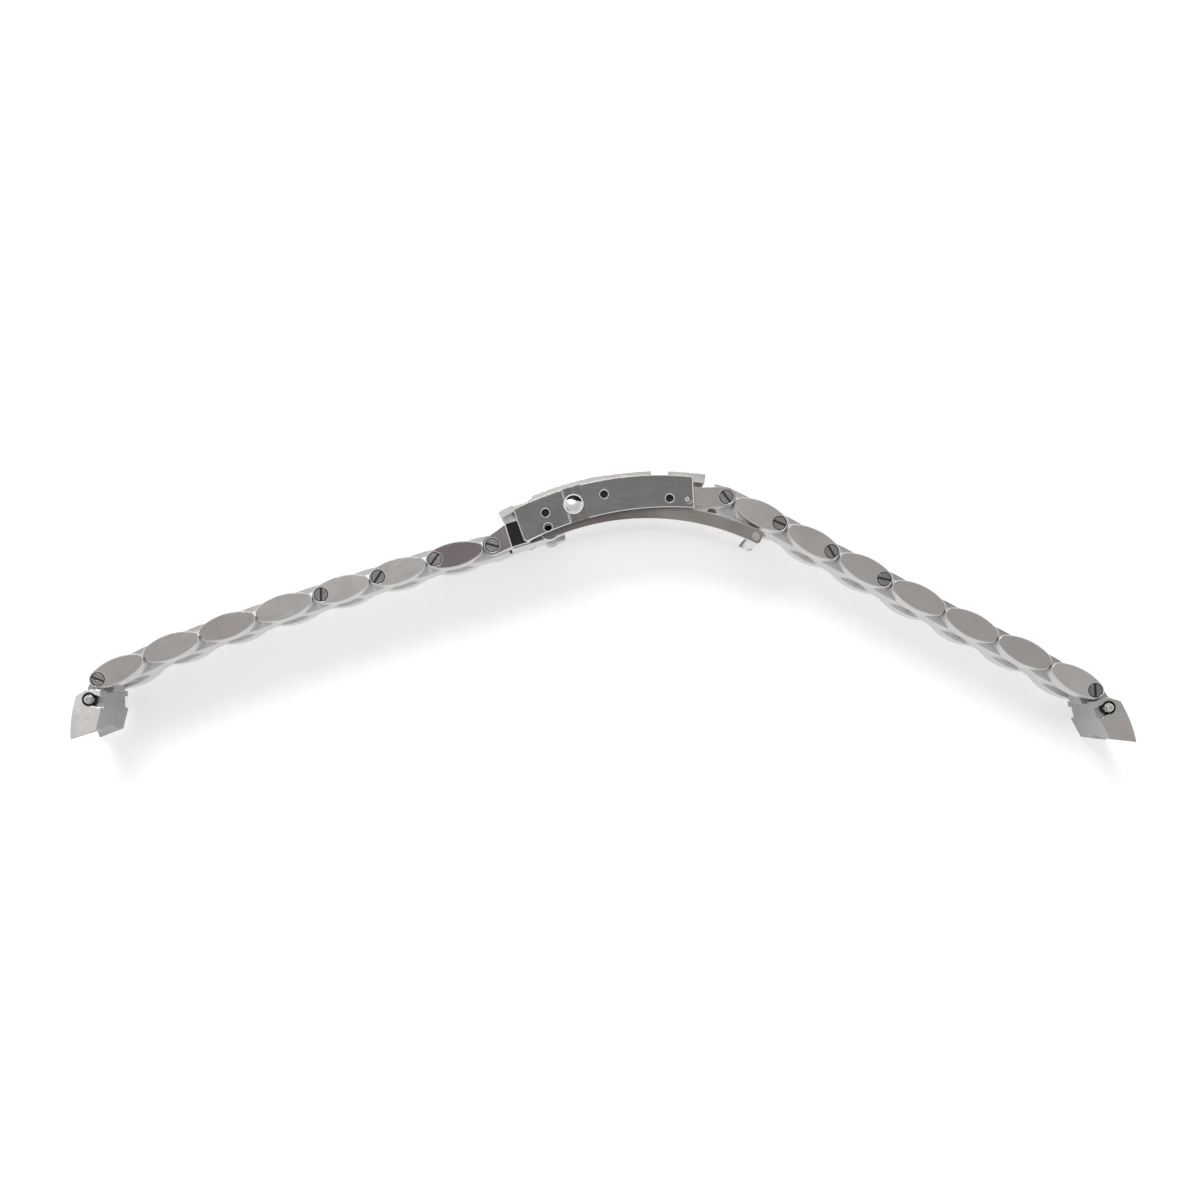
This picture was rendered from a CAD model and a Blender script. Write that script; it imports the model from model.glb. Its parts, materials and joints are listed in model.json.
import json
import math
import bpy
from mathutils import Matrix, Vector

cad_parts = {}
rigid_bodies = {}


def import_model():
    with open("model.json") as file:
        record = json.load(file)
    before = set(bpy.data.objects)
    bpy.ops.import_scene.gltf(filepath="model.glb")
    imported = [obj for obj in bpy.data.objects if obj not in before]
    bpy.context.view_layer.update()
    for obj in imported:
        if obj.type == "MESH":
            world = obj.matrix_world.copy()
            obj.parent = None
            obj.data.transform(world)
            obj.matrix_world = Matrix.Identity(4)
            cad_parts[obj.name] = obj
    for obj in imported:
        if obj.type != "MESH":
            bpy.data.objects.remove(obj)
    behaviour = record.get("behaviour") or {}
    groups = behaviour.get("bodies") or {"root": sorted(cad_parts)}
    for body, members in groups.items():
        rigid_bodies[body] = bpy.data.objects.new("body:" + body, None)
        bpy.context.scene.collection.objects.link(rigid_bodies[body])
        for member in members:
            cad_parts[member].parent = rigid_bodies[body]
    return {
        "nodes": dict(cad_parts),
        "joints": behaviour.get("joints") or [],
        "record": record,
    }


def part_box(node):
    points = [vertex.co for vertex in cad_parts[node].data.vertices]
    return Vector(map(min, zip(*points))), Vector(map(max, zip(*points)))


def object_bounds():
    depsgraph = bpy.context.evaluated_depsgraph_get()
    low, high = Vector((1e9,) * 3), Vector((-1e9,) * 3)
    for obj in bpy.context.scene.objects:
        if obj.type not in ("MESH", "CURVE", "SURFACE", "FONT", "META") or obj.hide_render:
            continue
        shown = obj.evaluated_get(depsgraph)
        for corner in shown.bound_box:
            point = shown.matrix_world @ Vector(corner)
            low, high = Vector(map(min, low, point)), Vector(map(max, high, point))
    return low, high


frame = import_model()
cadLow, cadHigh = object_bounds()
nodes = frame["nodes"]
bodies = frame["record"]["behaviour"]["bodies"]
bodyOf = {name: body for body, names in bodies.items() for name in names}
slotOf = {part["node"]: part["material_slot"] for part in frame["record"]["subparts"]}
joints = {joint["child"]: joint for joint in frame["joints"]}
widthMiddle = (cadLow[2] + cadHigh[2]) / 2  # half way across the band


class Wire:
    # one socket of a node tree; sums written on it add Math nodes
    def __init__(self, tree, socket=None):
        self.tree = tree
        self.socket = socket

    def node(self, kind, settings=None, values=None, output=0):
        made = self.tree.nodes.new(kind)
        for name, value in (settings or {}).items():
            setattr(made, name, value)
        for name, value in (values or {}).items():
            if isinstance(value, Wire):
                self.tree.links.new(value.socket, made.inputs[name])
            else:
                made.inputs[name].default_value = value
        return Wire(self.tree, made.outputs[output])

    def maths(self, operation, first, second=0.0):
        return self.node("ShaderNodeMath", {"operation": operation}, {0: first, 1: second})

    def vector(self, operation, other, output=0):
        inputs = {0: self, 1: other}
        return self.node("ShaderNodeVectorMath", {"operation": operation}, inputs, output)

    def scaled(self, share):
        inputs = {0: self, "Scale": share}
        return self.node("ShaderNodeVectorMath", {"operation": "SCALE"}, inputs)

    def mixed(self, first, second, share):
        # sockets 6 and 7 of a Mix node take its two colours, and output 2 gives the mixed one
        inputs = {0: share, 6: first, 7: second}
        return self.node("ShaderNodeMix", {"data_type": "RGBA"}, inputs, 2)

    def blend(self, other, share):
        # this colour, turning into the other one by share
        return self.mixed(self, other, share)

    def band(self, low, high):
        # 0 below low, 1 above high, smooth between
        return self.node("ShaderNodeMapRange", {"interpolation_type": "SMOOTHSTEP"},
                         {"Value": self, "From Min": low, "From Max": high})

    def part(self, name):
        return self.node("ShaderNodeSeparateXYZ", {}, {0: self}, name)

    def apart(self, centre):
        # distance from an upright line through centre
        flat = self.vector("MULTIPLY", (1, 1, 0))
        return flat.vector("DISTANCE", (centre[0], centre[1], 0), "Value")

    def noise(self, spread, detail, roughness, shift=(0, 0, 0)):
        # noise on this vector, spread times as fine along each axis
        place = self.vector("MULTIPLY", spread).vector("ADD", shift)
        return self.node("ShaderNodeTexNoise", {}, {
            "Vector": place, "Scale": 1.0, "Detail": detail, "Roughness": roughness})

    def __add__(self, other):
        return self.maths("ADD", self, other)

    def __radd__(self, other):
        return self.maths("ADD", other, self)

    def __sub__(self, other):
        return self.maths("SUBTRACT", self, other)

    def __rsub__(self, other):
        return self.maths("SUBTRACT", other, self)

    def __mul__(self, other):
        return self.maths("MULTIPLY", self, other)

    def __rmul__(self, other):
        return self.maths("MULTIPLY", other, self)

    def __abs__(self):
        return self.maths("ABSOLUTE", self)


def newMaterial(name):
    material = bpy.data.materials.new(name)
    material.use_nodes = True
    tree = material.node_tree
    return material, Wire(tree), tree.nodes["Principled BSDF"]


# tone is the colour of the band's side faces, which begin sideFrom metres off the middle of
# its width, edgeTone that of every other face, and tint how much either varies; grain is the
# depth of the brushing, grainLong its length over its width; edges are rounded by edgeRadius
steels = {
    "side_link_steel": {
        "tone": (0.56, 0.535, 0.515), "edgeTone": (0.50, 0.49, 0.485), "tint": 0.07,
        "sideFrom": 0.0080, "rough": 0.21, "edgeRough": 0.20, "edgeRadius": 0.00006,
        "grain": 0.18, "grainPerMm": 9, "grainLong": 14,
    },
    "centre_link_steel": {
        "tone": (0.56, 0.545, 0.535), "edgeTone": (0.50, 0.49, 0.485), "tint": 0.06,
        "sideFrom": 0.0080, "rough": 0.28, "edgeRough": 0.22, "edgeRadius": 0.00010,
        "grain": 0.35, "grainPerMm": 8, "grainLong": 18,
    },
    "clasp_link_steel": {
        "tone": (0.56, 0.54, 0.525), "edgeTone": (0.50, 0.49, 0.485), "tint": 0.10,
        "sideFrom": 0.0080, "rough": 0.20, "edgeRough": 0.18, "edgeRadius": 0.00008,
        "grain": 0.25, "grainPerMm": 8, "grainLong": 12,
    },
    "end_link_steel": {
        "tone": (0.76, 0.745, 0.73), "edgeTone": (0.46, 0.45, 0.44), "tint": 0.14,
        "sideFrom": 0.0090, "rough": 0.25, "edgeRough": 0.24, "edgeRadius": 0.00010,
        "grain": 0.40, "grainPerMm": 5, "grainLong": 7,
    },
    "cover_steel": {
        "tone": (0.265, 0.257, 0.248), "edgeTone": (0.52, 0.51, 0.50), "tint": 0.12,
        "sideFrom": 0.0090, "rough": 0.20, "edgeRough": 0.24, "edgeRadius": 0.00010,
        "grain": 0.12, "grainPerMm": 9, "grainLong": 30,
    },
    "lock_steel": {
        "tone": (0.76, 0.745, 0.73), "edgeTone": (0.52, 0.51, 0.50), "tint": 0.10,
        "sideFrom": 0.0080, "rough": 0.22, "edgeRough": 0.24, "edgeRadius": 0.00008,
        "grain": 0.20, "grainPerMm": 9, "grainLong": 24,
    },
    "blade_steel": {
        "tone": (0.21, 0.195, 0.185), "edgeTone": (0.72, 0.705, 0.695), "tint": 0.14,
        "sideFrom": 0.0080, "rough": 0.21, "edgeRough": 0.20, "edgeRadius": 0.00007,
        "grain": 0.20, "grainPerMm": 8, "grainLong": 22,
    },
    "button_steel": {
        "tone": (0.90, 0.89, 0.88), "edgeTone": (0.90, 0.89, 0.88), "tint": 0.05,
        "sideFrom": 0.0080, "rough": 0.27, "edgeRough": 0.27, "edgeRadius": 0.00004,
        "grain": 0.06, "grainPerMm": 12, "grainLong": 2,
    },
    "screw_steel": {
        "tone": (0.33, 0.32, 0.31), "edgeTone": (0.24, 0.23, 0.225), "tint": 0.24,
        "sideFrom": 0.0070, "rough": 0.22, "edgeRough": 0.26, "edgeRadius": 0.00003,
        "grain": 0.30, "grainPerMm": 7, "grainLong": 3,
    },
    "pin_steel": {
        "tone": (0.62, 0.61, 0.60), "edgeTone": (0.50, 0.49, 0.48), "tint": 0.10,
        "sideFrom": 0.0080, "rough": 0.20, "edgeRough": 0.18, "edgeRadius": 0.00004,
        "grain": 0.15, "grainPerMm": 12, "grainLong": 3,
    },
    "spring_steel": {
        "tone": (0.50, 0.49, 0.48), "edgeTone": (0.50, 0.49, 0.48), "tint": 0.05,
        "sideFrom": 0.0080, "rough": 0.25, "edgeRough": 0.25, "edgeRadius": 0.00003,
        "grain": 0.10, "grainPerMm": 12, "grainLong": 2,
    },
}

# what all the steels share: the side faces' own direction, the noises' spread, detail and
# roughness, how far these noises change tint and roughness, and the worn edges
brushing = {
    "sideFacing": (0.80, 0.92), "sideSoft": 0.0002, "seedStep": (7.3, 3.1, 1),
    "lines": (3.0, 0.55), "clouds": ((260, 260, 260), 2.0, 0.5), "bands": ((330, 45, 60), 1.0, 0.4),
    "lineTint": 1.6, "bandTint": 1.8, "lineRough": 0.14, "cloudRough": 0.06,
    "wornTurn": (0.01, 0.12), "wornLight": 1.18, "wornShare": 0.8, "wornRough": 0.08,
    "bumpDepth": 0.000012,
}


# dark ends of the pins in the cover's side faces and of the end links' bars
pinEnd = {"facing": (0, 0, 1), "bothSides": True, "tone": (0.02, 0.02, 0.02), "rough": 0.45}
barEnd = {"facing": (0, 0, 1), "bothSides": True, "tone": (0.05, 0.05, 0.05), "rough": 0.40}

# the end links' dull faces towards the wrist
wristFace = {"tone": (0.27, 0.26, 0.255), "rough": 0.40}

# places on single pieces whose finish differs: facing is the way they look and turned how
# nearly; span is where they start and end along an axis; beyond and within are distances from
# the middle of the width; past is a direction in degrees, a point, and how far ahead of it they
# start and are full; around is the distance from the piece's middle
patches = {
    "cover": [
        {"facing": (0, 0, 1), "bothSides": True, "beyond": 0.0088, "within": 0.0095,
         "tone": (0.64, 0.625, 0.615), "rough": 0.24},
        {"facing": (1, -0.1, 0), "turned": (0.28, 0.44), "beyond": 0.0092,
         "tone": (0.72, 0.71, 0.70), "rough": 0.22},
    ],
    "inner_blade": [
        {"facing": (0, 0, 1), "bothSides": True, "beyond": 0.0080, "span": ("X", 0.002, 0.014),
         "tone": (0.36, 0.33, 0.31), "rough": 0.22},
        {"facing": (0, 0, 1), "bothSides": True, "within": 0.0080,
         "tone": (0.92, 0.91, 0.90), "rough": 0.30},
        {"facing": (0, -1, 0), "tone": (0.95, 0.94, 0.93), "rough": 0.05},
    ],
    "middle_blade": [
        {"facing": (0, 0, 1), "bothSides": True, "within": 0.0070,
         "tone": (0.80, 0.79, 0.78), "rough": 0.30},
    ],
    "left_clasp_link": [
        {"facing": (0, 0, 1), "bothSides": True, "beyond": 0.0078, "within": 0.0086,
         "tone": (0.045, 0.046, 0.052), "rough": 0.12},
        {"facing": (0, 0, 1), "bothSides": True, "beyond": 0.0086,
         "past": (17.3, "left_clasp_screw", 0.0025, 0.0026),
         "tone": (0.95, 0.92, 0.90), "rough": 0.20},
    ],
    "left_end_link": [dict(wristFace, facing=(1, 0, 0)), dict(wristFace, facing=(0, -1, 0))],
    "right_end_link": [dict(wristFace, facing=(-1, 0, 0)), dict(wristFace, facing=(0, -1, 0))],
    "cover_hinge_pin": [pinEnd],
    "safety_lock_pin": [pinEnd],
    "blade_bar": [pinEnd],
    "left_end_bar": [barEnd],
    "right_end_bar": [barEnd],
}

# how nearly a face has to look a patch's way for the patch to begin and to be full, and how
# softly a patch ends at a line
patchEnds = {
    "twoSides": (0.75, 0.9), "oneSide": (0.45, 0.65), "soft": 0.0001, "softRound": 0.00004,
}

# radius of a button's dome, and where it begins, from the middle of the width
dome = {"radius": 0.00271, "from": 0.01005, "soft": 0.00005}

# a button's polished dome mirrors the dark of the room in a crescent and in a spot
domePatches = [
    {"facing": (0.15, 0.99, 0), "turned": (0.17, 0.22), "around": 0.00131,
     "tone": (0.02, 0.02, 0.02), "rough": 0.26},
    {"facing": (-0.75, -0.66, 0), "turned": (0.36, 0.43), "around": 0.00120,
     "tone": (0.06, 0.06, 0.06), "rough": 0.26},
]

# the faces between the three rows of a link are polished
rowGap = {
    "facing": (0, 0, 1), "bothSides": True, "within": 0.0045,
    "tone": (0.95, 0.94, 0.93), "rough": 0.35,
}

# a centre link is less polished outside the line of its pins, past this many metres
crown = {
    "facing": (0, 0, 1), "bothSides": True, "within": 0.0045, "outer": (0.0009, 0.0013),
    "tone": (0.36, 0.355, 0.35), "rough": 0.35,
}

# round places on side faces: a screw's seat, a hole with its pin, the adjusting bar held in its
# hole, and an end bar's tube; each is dark out to ring metres from its middle, and has a bright
# worked edge from there to edge
seats = {
    "screw": {"ring": 0.00105, "edge": 0.00115,
              "dark": (0.08, 0.078, 0.075), "bright": (0.70, 0.69, 0.68)},
    "hole": {"ring": 0.00054, "edge": 0.00070,
             "dark": (0.02, 0.02, 0.02), "bright": (0.86, 0.85, 0.84)},
    "held": {"ring": 0.00060, "edge": 0.00066,
             "dark": (0.09, 0.087, 0.085), "bright": (0.50, 0.49, 0.48)},
    "tube": {"ring": 0.00100, "edge": 0.00104,
             "dark": (0.06, 0.06, 0.06), "bright": (0.50, 0.49, 0.48)},
}

# how softly these end, how far from the middle of the width the screws' side is reached, and
# how far below a screw's top its slot begins and is fully dark
seatEnds = {"soft": 0.00002, "nearSide": 0.004, "slotFrom": 0.00004, "slotDark": 0.00010}

# links whose side faces came out of the polish darker or lighter than the rest
linkShade = {
    "left_link_1_outers": (0.47, 0.42, 0.44), "left_clasp_link": (0.53, 0.50, 0.51),
    "right_clasp_link": (0.90, 0.88, 0.87), "right_link_7_outers": (1.22, 1.22, 1.23),
    "left_link_5_outers": (0.90, 0.88, 0.88), "left_link_3_outers": (1.06, 1.06, 1.06),
    "right_end_link": (0.78, 0.76, 0.75), "left_end_link": (1.22, 1.20, 1.20),
}


def middleOf(name):
    if name.endswith("button"):
        # the top of its dome, because the catch makes its box lopsided
        corners = [corner.co for corner in nodes[name].data.vertices]
        top = max(corners, key=lambda spot: abs(spot.z - widthMiddle))
        return (top.x, top.y)
    low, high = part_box(name)
    return ((low.x + high.x) / 2, (low.y + high.y) / 2)


def seatsOf(name):
    # middles and kinds of the round places in a piece's side faces
    screw = name.replace("_outers", "_screw").replace("clasp_link", "clasp_screw")
    if screw != name and screw in nodes:
        return [(middleOf(screw), "screw")]
    if name == "cover":
        mounts = frame["record"]["mounts"]
        spare = [mount["pos_m"] for mount in mounts if mount["name"] == "spare_adjusting_hole"]
        pins = [middleOf(pin) for pin in ("cover_hinge_pin", "safety_lock_pin", "blade_bar")]
        return [(middle, "hole") for middle in pins + spare] + [(middleOf("adjusting_bar"), "held")]
    if name.endswith("end_link"):
        return [(middleOf(name.replace("link", "bar")), "tube")]
    return []


def patchesOf(name, turn):
    # a piece's own patches and those that its kind shares
    shared = []
    if name.endswith("button"):
        shared = domePatches
    if name.endswith("_outers"):
        shared = [rowGap]
    if name.endswith("_centre"):
        outer = 1 if name.startswith("right") else -1
        hinge = joints[bodyOf[name]]["pos_m"]
        past = (math.degrees(turn) + 90 * outer, hinge) + crown["outer"]
        shared = [rowGap, dict(crown, past=past)]
    return patches.get(name, []) + shared


def patchMask(patch, name, place, normal, outward):
    turned = normal.vector("DOT_PRODUCT", patch["facing"], "Value")
    usual = patchEnds["oneSide"]
    if patch.get("bothSides"):
        turned = abs(turned)
        usual = patchEnds["twoSides"]
    mask = turned.band(*patch.get("turned", usual))
    soft = patchEnds["soft"]
    if "span" in patch:
        axis, start, end = patch["span"]
        mask = mask * place.part(axis).band(start, end)
    if "beyond" in patch:
        mask = mask * outward.band(patch["beyond"] - soft, patch["beyond"] + soft)
    if "within" in patch:
        mask = mask * (1 - outward.band(patch["within"] - soft, patch["within"] + soft))
    if "past" in patch:
        angle, origin, start, end = patch["past"]
        ahead = (math.cos(math.radians(angle)), math.sin(math.radians(angle)), 0)
        origin = middleOf(origin) if isinstance(origin, str) else origin
        reach = place.vector("DOT_PRODUCT", ahead, "Value") - (
            origin[0] * ahead[0] + origin[1] * ahead[1])
        mask = mask * reach.band(start, end)
    if "around" in patch:
        radius = patch["around"]
        apart = place.apart(middleOf(name))
        mask = mask * (1 - apart.band(radius - patchEnds["softRound"], radius))
    return mask


def domeNormal(name, place, outward, rounded):
    # a button's dome is part of a ball, so it mirrors without the facets of its mesh
    low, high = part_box(name)
    top = high.z if name.startswith("near") else low.z
    inward = -1 if name.startswith("near") else 1
    middle = middleOf(name)
    centre = (middle[0], middle[1], top + inward * dome["radius"])
    ball = place.vector("SUBTRACT", centre).vector("NORMALIZE", (0, 0, 0))
    return rounded.blend(ball, outward.band(dome["from"] - dome["soft"], dome["from"]))


def seatedTone(name, tone, place):
    # a piece's tone with its round places and a screw's slot worked in
    soft = seatEnds["soft"]
    for middle, kind in seatsOf(name):
        seat = seats[kind]
        apart = place.apart(middle)
        near = 1.0
        if kind == "screw":
            near = place.part("Z").band(widthMiddle, widthMiddle + seatEnds["nearSide"])
        worked = (1 - apart.band(seat["edge"] - soft, seat["edge"] + soft)) * near
        sunk = (1 - apart.band(seat["ring"] - soft, seat["ring"] + soft)) * near
        tone = tone.blend(seat["bright"] + (1,), worked).blend(seat["dark"] + (1,), sunk)
    if name.endswith("screw"):
        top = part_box(name)[1].z
        slot = 1 - place.part("Z").band(top - seatEnds["slotDark"], top - seatEnds["slotFrom"])
        tone = tone.blend(seats["screw"]["dark"] + (1,), slot)
    return tone


def steelMaterial(name, finish, turn, seed):
    # brushed steel whose grain runs at an angle of turn in the band's plane
    material, wire, shader = newMaterial("steel_" + name)
    place = wire.node("ShaderNodeTexCoord", {}, {}, "Object")
    normal = wire.node("ShaderNodeTexCoord", {}, {}, "Normal")
    outward = abs(place.part("Z") - widthMiddle)
    sideFrom = finish["sideFrom"]
    side = abs(normal.part("Z")).band(*brushing["sideFacing"]) * outward.band(
        sideFrom - brushing["sideSoft"], sideFrom)

    along = wire.node("ShaderNodeVectorRotate", {"rotation_type": "Z_AXIS"},
                      {"Vector": place, "Angle": -turn})
    fine = finish["grainPerMm"] * 1000
    shift = tuple(seed * step for step in brushing["seedStep"])
    lines = along.noise((fine / finish["grainLong"], fine, fine), *brushing["lines"], shift)
    clouds = place.noise(*brushing["clouds"], shift)
    bands = along.noise(*brushing["bands"], shift)  # soft bands across a polished face

    rounded = wire.node("ShaderNodeBevel", {"samples": 4}, {"Radius": finish["edgeRadius"]})
    if name.endswith("button"):
        normal = rounded = domeNormal(name, place, outward, rounded)
    flat = wire.node("ShaderNodeNewGeometry", {}, {}, "Normal")
    worn = (1 - rounded.vector("DOT_PRODUCT", flat, "Value")).band(*brushing["wornTurn"])

    shade = linkShade.get(name, (1, 1, 1))
    sideTone = tuple(min(1, a * b) for a, b in zip(finish["tone"], shade))
    tone = wire.mixed(finish["edgeTone"] + (1,), sideTone + (1,), side)
    rough = finish["edgeRough"] + side * (finish["rough"] - finish["edgeRough"])
    for patch in patchesOf(name, turn):
        mask = patchMask(patch, name, place, normal, outward)
        tone = tone.blend(patch["tone"] + (1,), mask)
        rough = rough + mask * (patch["rough"] - finish["rough"])
    tone = seatedTone(name, tone, place)

    tint = finish["tint"]
    varied = 1 + (lines - 0.5) * (tint * brushing["lineTint"]) + (clouds - 0.5) * tint + (
        bands - 0.5) * (tint * brushing["bandTint"])
    polished = tuple(min(1, brushing["wornLight"] * value) for value in finish["edgeTone"]) + (1,)
    colour = tone.scaled(varied).blend(polished, worn * brushing["wornShare"])
    rough = rough + (lines - 0.5) * brushing["lineRough"] + (
        clouds - 0.5) * brushing["cloudRough"] - worn * brushing["wornRough"]
    bump = wire.node("ShaderNodeBump", {}, {
        "Strength": finish["grain"], "Distance": brushing["bumpDepth"],
        "Height": lines, "Normal": rounded})
    tree = material.node_tree
    tree.links.new(colour.socket, shader.inputs["Base Color"])
    tree.links.new(rough.socket, shader.inputs["Roughness"])
    tree.links.new(bump.socket, shader.inputs["Normal"])
    shader.inputs["Metallic"].default_value = 1.0
    return material


def headingOf(name):
    # direction from a link's own hinge to the hinge of the next one, which the brushing follows
    joint = joints.get(bodyOf[name])
    if joint is None or joint["type"] != "hinge":
        return 0.0
    start = Vector(joint["pos_m"])
    following = [other for other in frame["joints"]
                 if other["parent"] == bodyOf[name] and other["type"] == "hinge"]
    low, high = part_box(name)
    end = Vector(following[0]["pos_m"]) if following else (low + high) / 2
    return math.atan2(end.y - start.y, end.x - start.x)


# degrees of the brushing on pieces where it doesn't follow the links' way, what the end links'
# brushing is turned by from that way, and how many pieces in a row differ in their noise
grain = {
    "turns": {"cover": -8, "safety_lock": -8, "middle_blade": -4, "inner_blade": -4},
    "endLinkTurn": 70, "seeds": 17,
}

for number, (name, node) in enumerate(sorted(nodes.items())):
    turn = math.radians(grain["turns"][name]) if name in grain["turns"] else headingOf(name)
    if name.endswith("end_link"):
        turn += math.radians(grain["endLinkTurn"])
    steel = steelMaterial(name, steels[slotOf[name]], turn, number % grain["seeds"])
    node.data.materials.clear()
    node.data.materials.append(steel)
print("steel set on", len(nodes), "pieces")


studio = {
    "paperTone": 0.80, "paperRough": 0.9, "paperGlow": 0.47, "paperSize": 2.4,
    "zenith": 0.5, "horizon": 1.0, "skyBand": (0.2, 1.0), "fill": 0.52,
    "lampPower": 3.2, "lampSize": 0.30, "lampPlace": (-0.13, 0.34, 0.63),
}


def makeFloor():
    # white paper: it is lit, and glows for the camera and in reflections, so the shadow stays
    bpy.ops.mesh.primitive_grid_add(size=studio["paperSize"], x_subdivisions=4, y_subdivisions=4)
    paper = bpy.context.object
    paper.name = "paper"
    material, wire, shader = newMaterial("paper")
    tree = material.node_tree
    tone = studio["paperTone"]
    shader.inputs["Base Color"].default_value = (tone, tone, tone, 1)
    shader.inputs["Roughness"].default_value = studio["paperRough"]
    shader.inputs["Specular IOR Level"].default_value = 0.0
    rays = "ShaderNodeLightPath"
    seen = wire.node(rays, {}, {}, "Is Camera Ray") + wire.node(rays, {}, {}, "Is Glossy Ray")
    glow = wire.node("ShaderNodeEmission", {}, {
        "Color": (1, 1, 1, 1), "Strength": studio["paperGlow"]})
    lit = Wire(tree, shader.outputs[0])
    both = wire.node("ShaderNodeAddShader", {}, {0: lit, 1: glow})
    shown = wire.node("ShaderNodeMixShader", {}, {
        0: wire.maths("MINIMUM", seen, 1.0), 1: lit, 2: both})
    tree.links.new(shown.socket, tree.nodes["Material Output"].inputs["Surface"])
    paper.data.materials.append(material)


def makeWorld():
    # an even fill on the object, and a sky for the camera and for reflections
    world = bpy.data.worlds.new("studio")
    bpy.context.scene.world = world
    world.use_nodes = True
    tree = world.node_tree
    wire = Wire(tree)
    up = wire.node("ShaderNodeTexCoord", {}, {}, "Generated").part("Z")
    sky = studio["horizon"] - up.band(*studio["skyBand"]) * (studio["horizon"] - studio["zenith"])
    rays = "ShaderNodeLightPath"
    seen = wire.node(rays, {}, {}, "Is Camera Ray") + wire.node(rays, {}, {}, "Is Glossy Ray")
    level = studio["fill"] + wire.maths("MINIMUM", seen, 1.0) * (sky - studio["fill"])
    tree.links.new(level.socket, tree.nodes["Background"].inputs["Strength"])
    tree.nodes["Background"].inputs["Color"].default_value = (1, 1, 1, 1)


def makeLamp():
    # one soft lamp above the band's outside, pointed at the middle of the paper
    lamp = bpy.data.lights.new("window", "AREA")
    lamp.shape = "DISK"
    lamp.size = studio["lampSize"]
    lamp.energy = studio["lampPower"]
    holder = bpy.data.objects.new("window", lamp)
    bpy.context.scene.collection.objects.link(holder)
    holder.location = studio["lampPlace"]
    holder.rotation_euler = (-Vector(studio["lampPlace"])).to_track_quat("-Z", "Y").to_euler()


view = {
    "lens": 69.9, "sensor": 36.0, "nearest": 0.01,
    "place": (-0.0020, -0.01344, 0.3554), "aim": (-0.00057, 0.00082, 0.0224),
}


def makeCamera():
    # looks almost straight down, with the band's length across the picture
    data = bpy.data.cameras.new("camera")
    data.lens = view["lens"]
    data.sensor_width = view["sensor"]
    data.clip_start = view["nearest"]
    holder = bpy.data.objects.new("camera", data)
    bpy.context.scene.collection.objects.link(holder)
    ahead = (Vector(view["aim"]) - Vector(view["place"])).normalized()
    right = ahead.cross(Vector((0, 1, 0))).normalized()
    turned = Matrix((right, right.cross(ahead), -ahead)).transposed()
    holder.matrix_world = Matrix.Translation(view["place"]) @ turned.to_4x4()
    bpy.context.scene.camera = holder


makeFloor()
makeWorld()
makeLamp()
makeCamera()
bpy.context.scene.view_settings.view_transform = "Standard"
print("studio and camera set")
